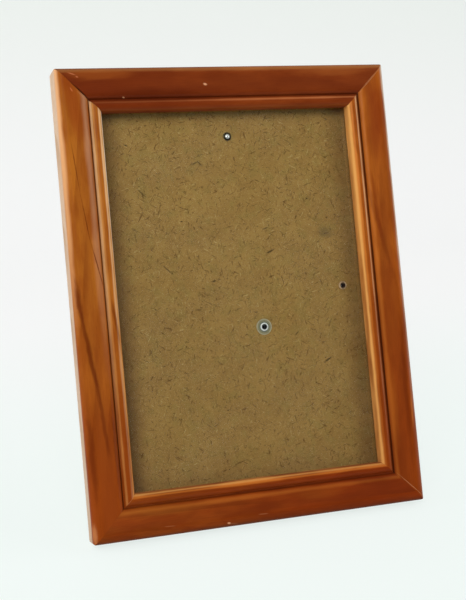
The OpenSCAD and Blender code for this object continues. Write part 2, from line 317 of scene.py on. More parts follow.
paper = Finish("white_paper")
rays = paper.node("LightPath", {})
seen = paper.math("MAXIMUM", rays.outputs["Is Camera Ray"], rays.outputs["Is Glossy Ray"])
seen = paper.math("MAXIMUM", seen, rays.outputs["Is Transmission Ray"])
spot = paper.node("SeparateXYZ", {"Vector": paper.node("TexCoord", {}).outputs["Object"]}).outputs
floor_colour = paper.mix(paper.fade(spot["Y"], 0.0, 0.4), paint(247, 255, 252), paint(255, 255, 255))
paper_colour = paper.mix(paper.fade(spot["Z"], 0.0, 0.35), floor_colour, paint(241, 247, 242))
matt = paper.node("BsdfDiffuse", {"Color": paint(235, 240, 237)}).outputs[0]
glow = paper.node("Emission", {"Color": paper_colour, "Strength": 1.0}).outputs[0]
self_lit = paper.math("MULTIPLY", seen, 0.8)
lit_paper = paper.node("MixShader", {0: self_lit, 1: matt, 2: glow}).outputs[0]
sweep_mesh.materials.append(paper.give(lit_paper))
print("the sweep's wall stands", round(wall_y, 2), "m behind the frame")

# %% [markdown]
# Three softboxes light it. The two at the sides draw the long highlights down the beads, and
# the strongest one stands high in front on the left, where it lights the face and the
# hardboard without mirroring in the glass. Small bright lamps would give harder edges to the
# shadows than daylight from windows does. The room round them is nearly dark in front, so
# that the glass mirrors little, and brighter behind, which shows on the wood's pale sides.

# %% Lamps
lamps = {
    "left_softbox": {"at": (-0.90, 0.10, 0.42), "size": (0.90, 1.10), "watts": 4.6},
    "right_softbox": {"at": (0.85, -0.30, 0.45), "size": (0.80, 1.10), "watts": 4.2},
    "front_softbox": {"at": (-0.52, -1.05, 1.02), "size": (1.05, 0.65), "watts": 12.0},
}
for name, lamp in lamps.items():
    light = bpy.data.lights.new(name, "AREA")
    light.shape = "RECTANGLE"
    light.size, light.size_y = lamp["size"]
    light.energy = lamp["watts"]
    holder = bpy.data.objects.new(name, light)
    holder.location = lamp["at"]
    holder.rotation_mode = "QUATERNION"
    holder.rotation_quaternion = (Vector(opening_middle) - holder.location).to_track_quat("-Z", "Y")
    bpy.context.scene.collection.objects.link(holder)
print("lamps:", ", ".join(lamps))

# %% Room
world = bpy.data.worlds.new("studio_room")
world.use_nodes = True
room = world.node_tree
background = room.nodes["Background"]
background.inputs["Color"].default_value = paint(241, 249, 245)
direction = room.nodes.new("ShaderNodeTexCoord")
parts_of = room.nodes.new("ShaderNodeSeparateXYZ")
room.links.new(direction.outputs["Generated"], parts_of.inputs[0])
level = room.nodes.new("ShaderNodeMapRange")
level.interpolation_type = "SMOOTHSTEP"
dark_to_bright = {"From Min": -0.75, "From Max": 0.1, "To Min": 0.05, "To Max": 0.35}
for socket, value in dark_to_bright.items():
    level.inputs[socket].default_value = value
room.links.new(parts_of.outputs["Y"], level.inputs["Value"])
camera_ray = room.nodes.new("ShaderNodeLightPath")
strength = room.nodes.new("ShaderNodeMath")
strength.operation = "MAXIMUM"
room.links.new(level.outputs[0], strength.inputs[0])
room.links.new(camera_ray.outputs["Is Camera Ray"], strength.inputs[1])
room.links.new(strength.outputs[0], background.inputs["Strength"])
bpy.context.scene.world = world
print("room light from", dark_to_bright["To Min"], "in front to", dark_to_bright["To Max"], "behind")

# %% [markdown]
# The moulding's section is drawn from the sight edge outwards: a bead, a narrow quirk, a
# small roll, a long face that falls gently towards the picture, and a rounded arris at the
# outer edge. At the back it has the rebate that takes glass and hardboard. Joining arcs and
# straight lines, as the cutter's own profile does, gives clean highlights. A few points
# and a subdivision would be shorter, but would soften the quirk, which has to stay crisp.

# %% Section of the moulding
sight_w, sight_h = 119.0, 170.0
rail_w, rail_t = 20.0, 13.5
outer_h = sight_h + 2 * rail_w
lip_w, ledge_v, back_chamfer = 5.0, 6.4, 0.5
arris_r, roll_r, bead_r, quirk_w, bead_v = 4.0, 3.0, 2.7, 0.6, 9.9
face_fall, roll_end, bead_start = math.radians(7), math.radians(140), math.radians(26)
quirk_v, corner_r, lip_r = 11.0, 1.2, 0.35


def arc(centre, radius, start, end, steps):
    """Points on a circle from one angle to another, both ends included, angles in radians."""
    angle = np.linspace(start, end, steps)
    return np.stack([centre[0] + radius * np.cos(angle), centre[1] + radius * np.sin(angle)], -1)


def line(start, end, steps):
    """Evenly spaced points from start up to, but without, end."""
    share = np.arange(steps)[:, None] / steps
    return np.asarray(start, float) * (1 - share) + np.asarray(end, float) * share


arris_c = np.array([rail_w - arris_r, rail_t - arris_r])
face_normal = np.array([-math.sin(face_fall), math.cos(face_fall)])
face_along = np.array([math.cos(face_fall), math.sin(face_fall)])
roll_u = 2 * bead_r + quirk_w - roll_r * math.cos(roll_end)
face_start = arris_c + (arris_r - roll_r) * face_normal
roll_c = face_start - (face_start[0] - roll_u) / face_along[0] * face_along
roll_arc = arc(roll_c, roll_r, math.pi / 2 + face_fall, roll_end, 9)
arris_arc = arc(arris_c, arris_r, 0, math.pi / 2 + face_fall, 17)
bead_arc = arc((bead_r, bead_v), bead_r, bead_start, math.pi, 29)
lip_round = arc((lip_r, ledge_v + lip_r), lip_r, math.pi, 1.5 * math.pi, 5)
ledge, rebate_edge = (lip_w, ledge_v), (lip_w, 0)
band_edge, chamfer_low = (rail_w - corner_r, 0), (rail_w - back_chamfer, 0)
chamfer_high, quirk_floor = (rail_w, back_chamfer), (2 * bead_r + 0.2 * quirk_w, quirk_v)
section = np.concatenate([
    line(lip_round[-1], ledge, 2), line(ledge, rebate_edge, 2),
    line(rebate_edge, band_edge, 3), line(band_edge, chamfer_low, 1),
    line(chamfer_low, chamfer_high, 1), line(chamfer_high, arris_arc[0], 3), arris_arc[:-1],
    line(arris_arc[-1], roll_arc[0], 8), roll_arc,
    line(quirk_floor, bead_arc[0], 1), bead_arc, lip_round[:-1],
])
print("section:", len(section), "points,", rail_w, "mm wide,", section[:, 1].max().round(2), "mm thick")

# %% [markdown]
# Each rail is the section carried along a straight line and cut at 45 degrees at both ends.
# It could be cut with a Boolean modifier, but a mitre needs no cutting here: the further out
# a point of the section lies, the longer its own line is, by just as much. The outer corners
# of the frame were eased with sandpaper after gluing, so the outermost band is drawn in along
# a circle. The mitres meet with a few hundredths of a millimetre between them, and the one at
# the upper left stands open by a third of a millimetre, because its glue has let go a little.

# %% Shape of a mitred rail
gap_middle, gap_half, gap_least = 8.5, 6.0, 0.15
rail_end, end_rows = 0.03, 8             # rows stand closer in the last part of each half
middle_end, middle_rows, opens_from = 0.95, 15, 0.9


def rail_points(half_sight, open_low, open_high):
    """Points of one rail: along it, out from the sight edge and forward from the back.
    A line at u runs half_sight + u each way from the middle. In the band within corner_r of
    the outer edge, w = (u - band's start) / corner_r, and the line ends where it meets the
    mitre: band's start + corner_r * w / sqrt(1 + w * w), drawn in by sqrt(1 - past * past).
    Each end stands back by open * (gap_least + 1 - |u - gap_middle| / gap_half)."""
    u, v = section.T
    band_start = rail_w - corner_r
    band = np.clip(u - band_start, 0, None) / corner_r
    reach = half_sight + np.minimum(u, band_start) + corner_r * band / np.sqrt(1 + band**2)
    ending = 1 - rail_end * np.linspace(1, 0, end_rows) ** 1.5
    middle = np.linspace(-middle_end, middle_end, middle_rows)
    share = np.concatenate([-ending[::-1], middle, ending])[:, None]
    tent = gap_least + np.clip(1 - np.abs(u - gap_middle) / gap_half, 0, 1)
    gap = np.where(share < 0, open_low, open_high) * tent
    along = share * (reach - gap * (np.abs(share) > opens_from))
    past = np.clip((np.abs(along) - half_sight - band_start) / corner_r, 0, 1)
    out = np.minimum(u, band_start) + corner_r * band * np.sqrt(1 - past**2)
    return along, out, np.broadcast_to(v, along.shape)


def rail_place(along, out, forward, turn, half_across):
    """A rail drawn below the opening, turned about the opening's middle by turn degrees."""
    angle = math.radians(turn)
    across = -(half_across + out)
    x = along * math.cos(angle) + across * math.sin(angle)
    z = -along * math.sin(angle) + across * math.cos(angle) + outer_h / 2
    return np.stack([x, -forward, z], -1)


print("the lower rail reaches", rail_points(sight_w / 2, 0, 0)[0].max().round(2), "mm each way")

# %% [markdown]
# The wood is a pale hardwood under a red-brown stain. What the eye reads as wood is the growth
# rings: shells round the pith, cut through at a small angle, so that they cross the rail as
# long slanting lines, soft on one side and sharp on the other. Plain stripes would be simpler,
# but wouldn't bend and run out as grain does. So the rings are worked out as they grow: the
# distance from a pith line beside the rail, a little bent by noise, and repeated at the ring
# width. Fine fibres and short pores run along the rail. All of it reads the place in the
# solid, so the pattern goes through the section as it does in real wood.


# %% Grain of a rail
wave_along, wave_across = 90, 14         # how far apart the rings' slow bends are, in mm


def growth_rings(wood, rail, grain):
    """Late wood of each ring, which rises slowly across the ring and falls at once. Rings are
    repeats of (distance from the pith line + wandering noise) / ring_w, and the pith line
    leans against the rail by slant."""
    pith_in, pith_deep = rail["pith"]
    waves = wood.stretch(grain["moved"], wave_along, wave_across, wave_across)
    wander = wood.noise(waves, detail=2, roughness=0.4)
    across = wood.math("ADD", wood.math("MULTIPLY", grain["along"], rail["slant"]), grain["inward"])
    side = wood.math("POWER", wood.math("SUBTRACT", across, pith_in), 2.0)
    deep = wood.math("POWER", wood.math("SUBTRACT", grain["through"], pith_deep), 2.0)
    radius = wood.math("SQRT", wood.math("ADD", side, deep))
    radius = wood.math("ADD", radius, wood.math("MULTIPLY", wander, 0.9 * rail["ring_w"]))
    ring = wood.math("FRACT", wood.math("DIVIDE", radius, rail["ring_w"]))
    late = wood.math("MULTIPLY", wood.fade(ring, 0.30, 0.90), wood.fade(ring, 0.92, 1.0, 1.0, 0.0))
    patches = wood.noise(wood.stretch(grain["moved"], 60, 9, 9), detail=1)
    return wood.math("MULTIPLY", late, wood.fade(patches, 0.35, 0.62, 0.25, 1.0))


def grain_of(wood, rail, half_across):
    """What the next steps read, by name. The place is turned so that x runs along the rail, y
    through it and z in towards the opening, and noises are stretched along the rail."""
    straight = Euler((0, math.radians(-rail["turn"]), 0))
    middle = straight.to_matrix() @ Vector((0, 0, -outer_h / 2))
    where = wood.place(turn=straight, move=middle + Vector((0, 0, half_across)))
    along, through, inward = wood.node("SeparateXYZ", {"Vector": where}).outputs
    shift = (rail["seed"], rail["seed"] / 3, 0)
    moved = wood.node("Mapping", {"Vector": where, "Location": shift}).outputs[0]
    grain = {"along": along, "through": through, "inward": inward, "moved": moved,
             "out": wood.math("MULTIPLY", inward, -1.0),
             "cloud": wood.fade(wood.noise(wood.stretch(moved, 30, 8, 8), detail=3), 0.3, 0.7),
             "blotch": wood.fade(wood.noise(wood.stretch(moved, 16, 5, 5), detail=3), 0.42, 0.62),
             "fibre": wood.noise(wood.stretch(moved, 9, 0.35, 0.35), detail=5, roughness=0.65),
             "pores": wood.fade(wood.noise(wood.stretch(moved, 3.2, 0.16, 0.16), detail=2), 0.66, 0.76)}
    grain["late"] = growth_rings(wood, rail, grain)
    return grain


print("slow bends of the rings along an upright rail:", round(outer_h / wave_along, 1))

# %% [markdown]
# Stain sinks unevenly into such wood: more into the late rings and the pores, and more in
# some blotches than in others, so the colour is built up in thin coats as the stain was. Lines
# of gold and pale colour along the bead, the roll and the outer edge are painted highlights and
# sheen, with some wear where hands and cloths reach, and a dark one on the lower arris is a
# painted reflection. The quirk is darkened by wax and dust and by painted shade. The back was
# never stained, and the outer sides are pale as bare wood, which also stands for a painted
# reflection of the white room. One picture of wood could hold all of this, but it would have
# to be cut and unwrapped for each rail, and the painted lines would not follow the moulding.

# %% Stain
# colours of the painted highlight and sheen lines; the pale one is bare wood and painted sheen too
gold, pale_gold, orange = paint(244, 176, 96), paint(252, 202, 146), paint(236, 140, 54)
bare_wood_and_sheen, red_gold, wax = paint(228, 200, 176), paint(226, 140, 84), paint(58, 20, 4)
raw_late, raw_pore = paint(190, 152, 118), paint(132, 94, 64)


def stain(wood, rail, grain):
    """The rail's light stain, redder towards one end, and a coat of a darker one for each
    pattern of the grain."""
    start, end, share = rail["redder"]
    redder = wood.fade(grain["along"], start, end, 0.0, share)
    colour = wood.mix(redder, rail["light"], rail["red"])
    colour = wood.glaze(colour, grain["blotch"], 0.35, rail["red"])
    colour = wood.glaze(colour, grain["cloud"], 0.35, rail["dark"])
    colour = wood.glaze(colour, grain["late"], 0.35, rail["dark"])
    colour = wood.mix(wood.fade(grain["fibre"], 0.3, 0.75, 0.0, 0.25), colour, rail["dark"])
    return wood.glaze(colour, grain["pores"], 0.4, wax)


def painted_light_lines(wood, rail, grain, colour):
    """A painted line of another colour at each place given: mostly painted highlights and sheen,
    with some wear, and on the lower arris a painted dark reflection. It fades from the place to
    half a width away, a little ragged, and its share changes from one end of the rail to the
    other. Where the share is below 0 there is no line."""
    for place, half, low_share, high_share, bare in rail["painted_light"]:
        near = wood.math("ABSOLUTE", wood.math("SUBTRACT", grain["out"], place))
        ragged = wood.math("MULTIPLY", wood.math("SUBTRACT", grain["cloud"], 0.5), 0.4 * half)
        near = wood.math("ADD", near, ragged)
        share = wood.fade(grain["along"], -sight_h / 2, sight_h / 2, low_share, high_share)
        colour = wood.mix(wood.math("MULTIPLY", wood.fade(near, half, 0.0), share), colour, bare)
    return colour


def bare_wood_and_side_sheen(wood, rail, grain, colour):
    """Bare wood with its own grain on the back, and where the outer side lies deeper than the
    stain's edge, where its paleness is also a painted reflection of the white room. The edge
    slopes along the rail."""
    stain_edge, slope = rail["side"]
    deep = wood.math("ADD", grain["through"], wood.math("MULTIPLY", grain["along"], slope))
    deep = wood.fade(deep, -stain_edge - 1, 1 - stain_edge)
    # the outer side is pale as bare wood, and the paleness also stands for a painted reflection of the
    # white room
    outer_side_sheen = wood.math("MULTIPLY", deep, wood.fade(grain["out"], rail_w - 1.0, rail_w - 0.2))
    behind = wood.math("MAXIMUM", outer_side_sheen, wood.fade(grain["through"], -0.7, -0.2))
    raw = wood.glaze(bare_wood_and_sheen, grain["late"], 0.6, raw_late)
    raw = wood.mix(wood.fade(grain["fibre"], 0.35, 0.7, 0.0, 0.5), raw, raw_late)
    raw = wood.glaze(raw, grain["pores"], 0.6, raw_pore)
    return wood.glaze(colour, behind, 0.85, raw)


print("bare wood sends back", round(bare_wood_and_sheen[0] / wax[0]), "times as much red light as wax")

# %% [markdown]
# Over the stain lies a semi-gloss lacquer. On a shader that is a coat: a second, smoother
# surface above the wood. It is thick on the face, thin on the bead, nearly rubbed off at the
# outer arris, and there is none on the back. One roughness for the whole rail would be
# simpler, but would make the back shine, and give hard bright lines on the beads.


# %% Lacquer and the whole finish
def quirk_wax_and_shade(wood, rail, grain, colour):
    """Painted shade and wax in the quirk: darkest within 0.2 mm of its middle, gone at 0.55 mm."""
    groove = wood.math("ABSOLUTE", wood.math("SUBTRACT", grain["out"], 2 * bead_r + quirk_w / 2))
    return wood.mix(wood.fade(groove, 0.55, 0.2, 0.0, rail["groove"]), colour, wax)


def marks_on(wood, rail, grain, colour):
    """Dark grain lines, soft spots, chips and scratches as strokes, on the front only."""
    front = wood.fade(grain["through"], -9.0, -10.5)
    for start, end, width, stain_colour, share in rail["marks"]:
        mark = wood.math("MULTIPLY", wood.stroke(start, end, width), share)
        colour = wood.mix(wood.math("MULTIPLY", mark, front), colour, stain_colour)
    return colour


def stained_wood(name, rail, half_across):
    """Stain, painted lines of light and shade with some wear, bare wood with painted sheen,
    painted shade and wax in the quirk, and marks as the colour, under a coat whose weight rises
    from the bead to the face and falls at the arris and towards the back."""
    wood = Finish(name)
    grain = grain_of(wood, rail, half_across)
    colour = painted_light_lines(wood, rail, grain, stain(wood, rail, grain))
    colour = bare_wood_and_side_sheen(wood, rail, grain, colour)
    colour = marks_on(wood, rail, grain, quirk_wax_and_shade(wood, rail, grain, colour))

    lacquer = wood.noise(wood.stretch(grain["moved"], 6, 2.5, 2.5), detail=2)
    pits = wood.math("MULTIPLY", grain["pores"], 0.2)
    relief = wood.math("SUBTRACT", wood.math("MULTIPLY", lacquer, 0.5), pits)
    on_face = wood.fade(grain["out"], 7.0, 10.0, 0.08, 0.45)
    gloss = wood.math("MULTIPLY", on_face, wood.fade(grain["through"], -6.0, -9.0))
    gloss = wood.math("MULTIPLY", gloss, wood.fade(grain["out"], 14.0, 16.0, 1.0, rail["edge_gloss"]))
    return wood.surface(base_color=colour, roughness=0.5, specular_ior_level=0.03,
                        coat_weight=gloss, coat_roughness=0.2,
                        normal=wood.bump(relief, 0.05, 0.5), coat_normal=wood.bump(lacquer, 0.05, 0.5))


print("the quirk's middle lies", round(2 * bead_r + quirk_w / 2, 2), "mm out from the sight edge")

# %% [markdown]
# Each rail was sawn from its own piece of wood and has had its own wear, so each gets its own
# entries: its colours, how it reddens along its length, its rings, its painted lines and marks.
# The upright rails' colours are lighter, as a painted sheen that side light raises on upright grain.
# A random choice would be shorter, but the four rails of a real frame are not alike in any
# regular way. The marks that a person would notice are placed one by one: the dark line that
# slants down the left rail, the crack at the upper left mitre, the chips and the scratches.

# %% The four rails
# redder: start and end along the rail, greatest share. pith: in from the rail, deep.
# open: mitre gaps at the low and the high end. groove: how dark the quirk's painted shade is.
# side: depth of the stain's edge on the outer side, slope; deeper it is pale, as bare wood and
# painted reflection. painted_light: see painted_light_lines.
# marks: start and end (x, z) on the bench, width, colour, share.
dark_stain, scratch, chip = paint(96, 30, 4), paint(196, 140, 96), paint(240, 176, 128)
# the upright rails' colours are lighter than the top and bottom rails' as a painted sheen, which side light
# raises across upright grain
rails = {
    "bottom_rail": {
        "turn": 0, "light": paint(156, 72, 18), "red": paint(138, 49, 9), "dark": paint(86, 28, 4),
        "redder": (-60, 60, 0.8), "pith": (34, 30), "slant": 0.05, "ring_w": 6.0, "seed": 310,
        "open": (0.02, 0.03), "groove": 0.5, "side": (6, 0), "edge_gloss": 0.1,
        # painted highlights on the bead, painted light on the shaded roll, a painted dark reflection on the
        # lower arris
        "painted_light": [(0.5, 0.8, 0.6, 0.5, gold), (1.4, 0.9, 0.45, 0.45, orange),
                 (7.6, 1.5, 0.22, 0.18, orange), (19.6, 1.8, 0.5, 0.5, paint(92, 48, 22))],
        "marks": [((66, 14), (78.6, 1.2), 0.35, scratch, 0.7),
                  ((-60.2, 19.4), (-64.4, 15.2), 0.5, scratch, 0.6),
                  ((-18.9, 2.2), (-17.9, 2.0), 1.0, chip, 0.9),
                  ((-49, 4.6), (-42.4, 4.2), 0.5, scratch, 0.2),
                  ((-19.5, 1.9), (-14, 1.4), 0.5, scratch, 0.25),
                  ((-4.5, 4.2), (0.5, 4.0), 0.5, scratch, 0.3),
                  ((-66, 12.5), (-30, 11), 5.0, paint(156, 86, 26), 0.4),
                  ((-18, 5), (10, 8), 5.0, dark_stain, 0.3),
                  ((14, 9.5), (40, 10), 5.0, paint(152, 76, 20), 0.3),
                  ((48, 12), (64, 11.5), 5.0, dark_stain, 0.25)]},
    "left_rail": {
        "turn": 90, "light": paint(192, 112, 34), "red": paint(154, 68, 16), "dark": paint(122, 48, 8),
        "redder": (-30, 95, 1.0), "pith": (46, 16), "slant": 0.15, "ring_w": 6.5, "seed": 20,
        "open": (0.30, 0.02), "groove": 0.75, "side": (9.5, -0.015), "edge_gloss": 0.05,
        # painted highlights on the bead with wear at the sight edge, painted sheen on the roll, painted
        # pale reflection on the outer side
        "painted_light": [(0.6, 0.8, 0.60, 0.45, gold), (0.2, 0.6, 0.90, -0.40, paint(250, 232, 208)),
                 (1.4, 0.8, 0.80, 0.15, pale_gold), (4.1, 0.7, 0.35, 0.25, gold),
                 (4.9, 0.8, 0.85, 0.0, pale_gold), (7.8, 2.2, 0.20, -0.05, bare_wood_and_sheen),
                 (19.3, 1.6, 0.85, -0.50, paint(240, 178, 124))],
        "marks": [((-75, 212), (-70, 180), 9.0, paint(146, 48, 8), 0.5),
                  ((-74.9, 178), (-72.4, 151), 0.6, dark_stain, 0.6),
                  ((-72.4, 152.5), (-69.7, 130), 0.6, dark_stain, 0.65),
                  ((-69.7, 132), (-65.3, 110), 0.7, dark_stain, 0.7),
                  ((-77.6, 62), (-76.9, 16), 3.0, dark_stain, 0.5),
                  ((-66.6, 62), (-66.2, 18), 2.6, paint(90, 34, 16), 0.45),
                  ((-78.9, 9), (-78.6, 0.5), 2.4, paint(222, 150, 96), 0.4),
                  ((-78.1, 116), (-76.2, 94), 2.8, dark_stain, 0.7),
                  ((-76.9, 100), (-71.4, 60), 2.8, dark_stain, 0.7),
                  ((-72.2, 68), (-69.6, 36), 2.4, dark_stain, 0.5),
                  ((-62.9, 108), (-60.6, 86), 1.8, dark_stain, 0.55),
                  ((-65.6, 194.8), (-70.2, 199.4), 0.5, scratch, 0.4),
                  ((-73, 200.6), (-72.2, 199.2), 0.8, paint(220, 126, 70), 0.6)]},
    "top_rail": {
        "turn": 180, "light": paint(148, 66, 22), "red": paint(126, 48, 12), "dark": paint(96, 32, 8),
        "redder": (-20, 80, 1.0), "pith": (-30, 34), "slant": -0.04, "ring_w": 5.5, "seed": 640,
        "open": (0.03, 0.30), "groove": 0.5, "side": (6, 0), "edge_gloss": 0.4,
        # painted highlights on the bead and on the arris
        "painted_light": [(0.4, 0.9, 0.05, 0.05, gold), (4.0, 0.8, 0.55, 0.12, red_gold),
                 (18.4, 1.8, 0.2, 0.2, gold)],
        "marks": [((-74, 206), (-44, 207), 6.0, paint(166, 84, 28), 0.5),
                  ((36, 206), (72, 206.5), 5.0, paint(160, 84, 34), 0.5),
                  ((-62, 197), (-8, 197), 8.0, paint(84, 26, 6), 0.5),
                  ((66, 196.6), (78.4, 208.8), 0.35, scratch, 0.7),
                  ((-11.3, 201.3), (-10.3, 201.1), 1.1, chip, 0.9),
                  ((-49.3, 196.2), (-48.8, 196.1), 0.6, chip, 0.7),
                  ((-65.1, 195.9), (-71.4, 202.2), 0.7, wax, 0.6),
                  ((-73.9, 207.5), (-70.2, 206.2), 0.6, paint(224, 134, 86), 0.7),
                  ((-70, 205.5), (-69.3, 205.3), 0.7, paint(224, 134, 86), 0.6)]},
    "right_rail": {
        "turn": 270, "light": paint(188, 100, 28), "red": paint(152, 65, 13), "dark": paint(106, 38, 7),
        "redder": (50, -70, 1.0), "pith": (-40, 22), "slant": 0.12, "ring_w": 7.5, "seed": 905,
        "open": (0.03, 0.03), "groove": 0.85, "side": (6, 0), "edge_gloss": 0.2,
        # painted highlights on the bead, painted light on the shaded roll, a painted pale reflection at the
        # outer edge
        "painted_light": [(0.5, 1.0, 0.75, 0.95, gold), (1.5, 0.9, 0.2, 0.65, orange),
                 (4.2, 0.8, 0.05, 0.60, pale_gold), (7.2, 1.8, 0.2, 0.3, orange),
                 (19.0, 1.6, 0.12, 0.9, bare_wood_and_sheen)],
        "marks": [((66, 196), (78.4, 208.4), 0.35, scratch, 0.7),
                  ((66, 14.6), (78.6, 1.8), 0.35, scratch, 0.6),
                  ((60.1, 177.9), (76.5, 95.5), 3.0, dark_stain, 0.3),
                  ((67.8, 158), (70.4, 120), 2.2, paint(120, 40, 6), 0.4),
                  ((75.2, 92), (74.2, 17), 3.0, dark_stain, 0.4),
                  ((68.4, 62), (67.9, 24), 4.0, paint(164, 86, 24), 0.4),
                  ((77, 52), (76.6, 34), 1.6, paint(196, 110, 38), 0.45),
                  ((73.5, 204), (73, 166), 10.0, paint(128, 34, 6), 0.45)]},
}
print("marks on the rails:", {name: len(rail["marks"]) for name, rail in rails.items()})

# %% Rails
for name, rail in rails.items():
    upright = rail["turn"] % 180 == 90
    half_sight, half_across = (sight_h / 2, sight_w / 2) if upright else (sight_w / 2, sight_h / 2)
    points = rail_place(*rail_points(half_sight, *rail["open"]), rail["turn"], half_across)
    finish = stained_wood("stained_" + name, rail, half_across)
    piece(name + "_moulding", closed(points), finish, "frame", [name])

# %% [markdown]
# The back and the strut are hardboard: wood ground to fibres and pressed, brown, matt and
# full of short darker and lighter strands that lie every way. Strands could be modelled one
# by one, or come from an image, but noise gives thousands of them at no cost: in each of four
# directions a noise is stretched along it, and its highest and lowest places are coloured.
# Slower noises cloud the colour. Along the two long edges painted shade under the lip darkens
# the board, and it is also darker towards its lower part. A few flecks of bark are placed.


# %% Hardboard
def hardboard(name, seed, board, shade, edge, flecks=()):
    """Strands are where a stretched noise is above a high level or below a low one, once for
    each direction. Painted shade under the lip darkens the board by edge at the left and by
    0.7 * edge at the right, and it is darker by edge / 3 towards the bottom. A fleck is
    (start, end, width, colour, share)."""
    panel = Finish(name)
    where = panel.place(move=(seed, 0, 0))
    across, _, up = panel.node("SeparateXYZ", {"Vector": panel.place()}).outputs
    cloud = panel.noise(panel.stretch(where, 9, 9, 9), detail=4, roughness=0.6)
    tint = panel.fade(panel.noise(panel.stretch(where, 5, 5, 5), detail=3), 0.45, 0.7, 0.0, 0.4)
    grit = panel.noise(panel.stretch(where, 0.5, 0.5, 0.5), detail=3, roughness=0.7)
    colour = panel.mix(tint, panel.mix(panel.fade(cloud, 0.35, 0.65), board, shade), paint(154, 132, 64))
    dark_grit = panel.mix(0.05, colour, paint(70, 46, 18))
    pale_grit = panel.mix(0.06, colour, paint(206, 176, 116))
    colour = panel.mix(panel.fade(grit, 0.35, 0.65), dark_grit, pale_grit)
    for degrees, offset in ((15, 0), (60, 40), (100, 80), (150, 120)):
        turn = Euler((0, math.radians(degrees), 0))
        strands = panel.place(turn=turn, move=(seed + offset, 0, offset))
        bent = panel.noise(panel.stretch(strands, 3.4, 1.4, 0.62), detail=1, distortion=0.8)
        colour = panel.glaze(colour, panel.fade(bent, 0.66, 0.74), 0.62, paint(92, 58, 18))
        colour = panel.glaze(colour, panel.fade(bent, 0.30, 0.22), 0.5, paint(214, 184, 118))
    mottle = panel.noise(panel.stretch(where, 1.6, 1.6, 1.6), detail=2, roughness=0.6)
    colour = panel.mix(panel.fade(mottle, 0.5, 0.7, 0.0, 0.22), colour, paint(120, 84, 34))
    # painted shade along both long edges under the lip, and a darkening towards the bottom
    left_lip_shade = panel.fade(across, -57, -48, edge, 0.0)
    right_lip_shade = panel.fade(across, 48, 58, 0.0, 0.7 * edge)
    low_darkening = panel.fade(up, 30, 185, edge / 3, 0.0)
    lip_shade_and_low_darkening = panel.math("ADD", panel.math("MAXIMUM", left_lip_shade, right_lip_shade), low_darkening)
    colour = panel.mix(lip_shade_and_low_darkening, colour, paint(94, 58, 20))
    specks = panel.noise(panel.stretch(where, 0.9, 0.9, 0.9), detail=1)
    colour = panel.mix(panel.fade(specks, 0.71, 0.76, 0.0, 0.85), colour, paint(54, 34, 12))
    for start, end, width, tone, share in flecks:
        colour = panel.glaze(colour, panel.stroke(start, end, width), share, tone)
    return panel.surface(base_color=colour, roughness=0.75, specular_ior_level=0.15,
                         normal=panel.bump(grit, 0.06, 0.6))


bark, smudge = paint(62, 42, 18), paint(100, 84, 56)
flecks = [((43, 131.2), (48.1, 130.4), 5.0, smudge, 0.45), ((14.9, 122.8), (18.2, 124.3), 1.1, bark, 0.8),
          ((39, 69.6), (42.1, 71.5), 1.0, bark, 0.8), ((14, 134.2), (16.6, 135), 0.7, bark, 0.7),
          ((25.2, 83.4), (27.2, 85.3), 0.7, bark, 0.6), ((-17.7, 166), (-14.9, 167.3), 0.9, bark, 0.6),
          ((-14.9, 167.3), (-13, 165.2), 0.9, bark, 0.6), ((-44.7, 155.9), (-40.4, 151.5), 0.8, bark, 0.6),
          ((-35.8, 120.1), (-31, 115.6), 0.8, bark, 0.6), ((-12.8, 111.3), (-11.5, 111.7), 1.0, bark, 0.8),
          ((-25.5, 139.9), (-24.8, 139.9), 0.6, wax, 0.9), ((-48.7, 176.2), (-47.3, 175.7), 0.7, bark, 0.8),
          ((37, 147.8), (38, 147.3), 0.6, wax, 0.8)]
board_finish = hardboard("hardboard_back", 0, paint(178, 139, 72), paint(167, 128, 64), 0.5, flecks)
strut_finish = hardboard("hardboard_strut", 260, paint(150, 118, 66), paint(128, 98, 54), 0.0)


def dressed(node, finish):
    """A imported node, which keeps its own mesh and takes a finish."""
    packed = frame["nodes"][node]
    packed.data.materials.clear()
    packed.data.materials.append(finish)
    print(finish.name, "on", packed.name)
    return packed


board = dressed("backing_board", board_finish)

# %% [markdown]
# Thin metal parts are blanked from sheet, so their shape is a flat outline with a little
# rounding where the press rolled the edge over. A Bevel modifier on a flat plate could round
# it too; here the wall is a grid, because its roundness then is a plain formula: the outline
# drawn in along a quarter circle at both faces. The faces may be hollow in outline and have
# holes, so a constrained triangulation fills them, inside a narrow flat hem. Without the hem,
# the smooth shading of the rolled edge would run out over the flat face.

# %% Plates with rolled edges
def drawn_in(outline, depth):
    """An outline moved inwards: each point goes against the sum of its two edge normals,
    lengthened so that both edges move by depth."""
    before = outline - np.roll(outline, 1, 0)
    after = np.roll(outline, -1, 0) - outline
    normals = [np.stack([edge[:, 1], -edge[:, 0]], -1) / np.linalg.norm(edge, axis=1)[:, None]
               for edge in (before, after)]
    both = normals[0] + normals[1]
    along = (both * normals[0]).sum(1)[:, None]
    return outline - depth * both / np.clip(along, 0.3, None)


hem_w, same_spot = 0.05, 1e-5            # the hem's width, and how close points may lie


